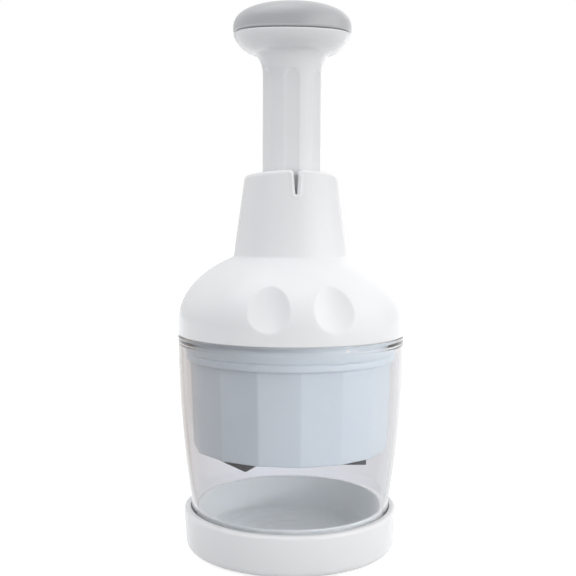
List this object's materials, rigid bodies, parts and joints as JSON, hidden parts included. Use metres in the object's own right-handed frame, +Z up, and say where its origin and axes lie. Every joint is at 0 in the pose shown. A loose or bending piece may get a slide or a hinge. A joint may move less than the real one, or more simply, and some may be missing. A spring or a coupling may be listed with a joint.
{
  "type": "manual food chopper",
  "caption": "Press-type hand chopper: mushroom knob on a fluted stem, domed housing with thumb dimples, clear tapered cup, milky faceted guard, zigzag blades and a shallow dish.",
  "frame": {"origin": "centre of the circle that the foot ring stands on, at the lowest point", "axes": "+Z up along the chopper's axis, -Y to the front, where the neck's slit and one pair of thumb dimples are"},
  "size_m": [0.102, 0.102, 0.2434],
  "materials": {
    "white_plastic": "white satin-gloss moulded plastic",
    "milky_plastic": "blue-grey milky translucent moulded plastic",
    "clear_plastic": "clear polished moulded plastic",
    "soft_grey": "grey soft-touch overmoulding, matt",
    "dark_rubber": "dark non-slip rubber",
    "steel": "zinc-plated and drawn steel",
    "blade_steel": "fine-ground stainless blade steel"
  },
  "bodies": {
    "base": {"foot_ring": "dark_rubber", "base_dish": "white_plastic", "base_insert": "milky_plastic"},
    "cup": {"clear_cup": "clear_plastic"},
    "housing": {"housing_shell": "white_plastic", "guide_sleeve": "white_plastic", "bayonet_ring": "white_plastic", "cam_nut": "milky_plastic", "cam_screw_1": "steel", "cam_screw_2": "steel", "housing_screw_1": "steel", "housing_screw_2": "steel", "housing_screw_3": "steel", "housing_screw_4": "steel", "spring_seat": "steel", "return_spring": "steel"},
    "guard": {"splash_guard": "milky_plastic"},
    "plunger": {"handle": "white_plastic", "grip_cap": "soft_grey", "cap_core": "white_plastic", "push_rod": "steel", "rod_nut": "steel", "stop_ring": "milky_plastic"},
    "rotor": {"rotor_hub": "milky_plastic", "blade_carrier": "white_plastic", "blade_a": "blade_steel", "blade_b": "blade_steel", "carrier_screw_1": "steel", "carrier_screw_2": "steel", "thrust_washer": "steel", "rod_screw": "steel"},
    "wiper": {"wiper_plate": "white_plastic"}
  },
  "joints": [
    {"name": "cup_lift", "type": "slide", "parent": "base", "child": "cup", "axis": [0, 0, 1], "range_m": [0, 0.03]},
    {"name": "housing_lift", "type": "slide", "parent": "cup", "child": "housing", "axis": [0, 0, 1], "range_m": [0, 0.065]},
    {"name": "guard_twist", "type": "hinge", "parent": "housing", "child": "guard", "pos_m": [0, 0, 0.07], "axis": [0, 0, 1], "range_deg": [0, 40]},
    {"name": "plunger_slide", "type": "slide", "parent": "housing", "child": "plunger", "axis": [0, 0, -1], "range_m": [0, 0.0355], "stiffness_N_per_m": 250, "springref_m": -0.02, "deforming": ["return_spring"]},
    {"name": "blade_turn", "type": "hinge", "parent": "plunger", "child": "rotor", "pos_m": [0, 0, 0.09], "axis": [0, 0, 1], "range_deg": [0, 46]},
    {"name": "wiper_turn", "type": "hinge", "parent": "housing", "child": "wiper", "pos_m": [0, 0, 0.05], "axis": [0, 0, 1], "range_deg": [0, 46]}
  ],
  "couplings": [
    {"joint": "blade_turn", "follows": "plunger_slide", "rad_per_m": 22.124},
    {"joint": "wiper_turn", "follows": "plunger_slide", "rad_per_m": 22.124}
  ]
}
